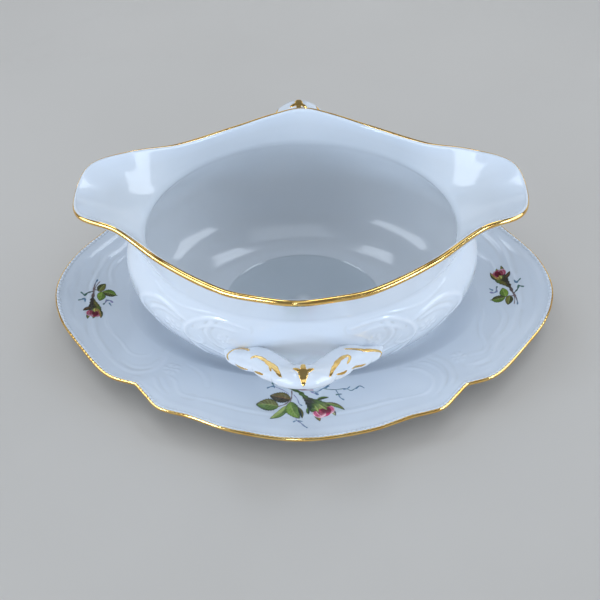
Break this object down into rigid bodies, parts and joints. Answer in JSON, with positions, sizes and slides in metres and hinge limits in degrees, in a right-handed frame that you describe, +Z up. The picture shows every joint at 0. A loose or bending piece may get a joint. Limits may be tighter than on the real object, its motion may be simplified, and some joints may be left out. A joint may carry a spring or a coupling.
{
  "type": "gravy boat",
  "caption": "Oval porcelain gravy boat with a pouring spout at each end and scroll handles at the sides, standing on a scalloped oval underplate with gilded edges.",
  "frame": {"origin": "centre of the underplate's foot, on the table", "axes": "+X along the line from spout to spout, +Y towards the rear handle, +Z up"},
  "size_m": [0.2458, 0.189, 0.0836],
  "materials": {
    "porcelain": "clear gloss glaze over bluish white porcelain",
    "gilding": "polished gold lustre, thin, slightly worn",
    "transfer_print": "printed colours under a thin gloss"
  },
  "bodies": {
    "underplate": {"underplate": "porcelain", "underplate_rim_gilding": "gilding", "front_rose_transfer": "transfer_print", "rear_rose_transfer": "transfer_print", "left_rose_transfer": "transfer_print", "right_rose_transfer": "transfer_print"},
    "boat": {"boat_bowl": "porcelain", "front_handle": "porcelain", "rear_handle": "porcelain", "boat_rim_gilding": "gilding", "front_handle_gilding": "gilding", "rear_handle_gilding": "gilding"}
  },
  "joints": [
    {"name": "boat_lift", "type": "slide", "parent": "underplate", "child": "boat", "axis": [0, 0, 1], "range_m": [0, 0.1]}
  ]
}
